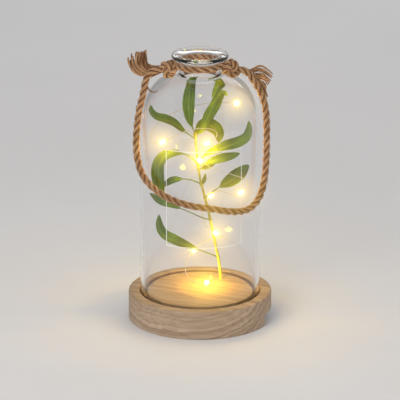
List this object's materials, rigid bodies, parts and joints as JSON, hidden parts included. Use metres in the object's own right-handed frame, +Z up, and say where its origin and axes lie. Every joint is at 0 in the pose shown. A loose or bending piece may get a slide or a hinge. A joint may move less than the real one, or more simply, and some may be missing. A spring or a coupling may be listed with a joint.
{
  "type": "bottle light",
  "caption": "Clear glass bottle standing in a grooved round wooden base, with a rope handle, an artificial leafy sprig and a battery string of small lights inside.",
  "frame": {"origin": "centre of the wooden base's underside, on the surface that it stands on", "axes": "+Z up along the bottle's axis; the rope handle hangs in front, towards -Y; the notch in the base faces +X"},
  "size_m": [0.12, 0.12, 0.2343],
  "materials": {
    "wood": "bare sanded pale wood",
    "clear_glass": "clear, smooth",
    "jute_rope": "twisted natural jute",
    "black_plastic": "fine moulded grain",
    "cell_jacket": "plain printed sleeve",
    "bright_steel": "nickel plated",
    "resistor_body": "lacquered",
    "red_insulation": "satin",
    "black_insulation": "satin",
    "stem_plastic": "moulded",
    "leaf_fabric": "printed cloth leaf",
    "copper_wire": "enamelled",
    "bead_resin": "clear resin drop over a warm light"
  },
  "bodies": {
    "base": {"wooden_base": "wood", "battery_case": "black_plastic", "battery_cell_1": "cell_jacket", "battery_cell_2": "cell_jacket", "battery_cell_3": "cell_jacket", "battery_springs": "bright_steel", "contact_plates": "bright_steel", "switch_housing": "bright_steel", "switch_terminals": "bright_steel", "resistor": "resistor_body", "red_lead": "red_insulation", "black_lead": "black_insulation", "splice_sleeve": "black_insulation", "case_screws": "bright_steel", "plant_stem": "stem_plastic", "leaf_01": "leaf_fabric", "leaf_02": "leaf_fabric", "leaf_03": "leaf_fabric", "leaf_04": "leaf_fabric", "leaf_05": "leaf_fabric", "leaf_06": "leaf_fabric", "leaf_07": "leaf_fabric", "leaf_08": "leaf_fabric", "leaf_09": "leaf_fabric", "leaf_10": "leaf_fabric", "leaf_11": "leaf_fabric", "leaf_12": "leaf_fabric", "leaf_13": "leaf_fabric", "leaf_14": "leaf_fabric", "string_wire": "copper_wire", "light_bead_1": "bead_resin", "light_bead_2": "bead_resin", "light_bead_3": "bead_resin", "light_bead_4": "bead_resin", "light_bead_5": "bead_resin", "light_bead_6": "bead_resin", "light_bead_7": "bead_resin", "light_bead_8": "bead_resin", "light_bead_9": "bead_resin"},
    "bottle": {"glass_bottle": "clear_glass", "neck_rope": "jute_rope", "left_knot": "jute_rope", "right_knot": "jute_rope", "left_tail": "jute_rope", "right_tail": "jute_rope"},
    "handle": {"handle_rope": "jute_rope"},
    "cover": {"battery_cover": "black_plastic"},
    "slider": {"switch_slider": "black_plastic"}
  },
  "joints": [
    {"name": "bottle_lift", "type": "slide", "parent": "base", "child": "bottle", "axis": [0, 0, 1], "range_m": [0, 0.2]},
    {"name": "handle_swing", "type": "hinge", "parent": "bottle", "child": "handle", "pos_m": [0, -0.009, 0.2195], "axis": [-1, 0, 0], "range_deg": [0, 150]},
    {"name": "cover_slide", "type": "slide", "parent": "base", "child": "cover", "axis": [1, 0, 0], "range_m": [0, 0.06]},
    {"name": "switch_slide", "type": "slide", "parent": "base", "child": "slider", "axis": [0, 1, 0], "range_m": [0, 0.002]}
  ]
}
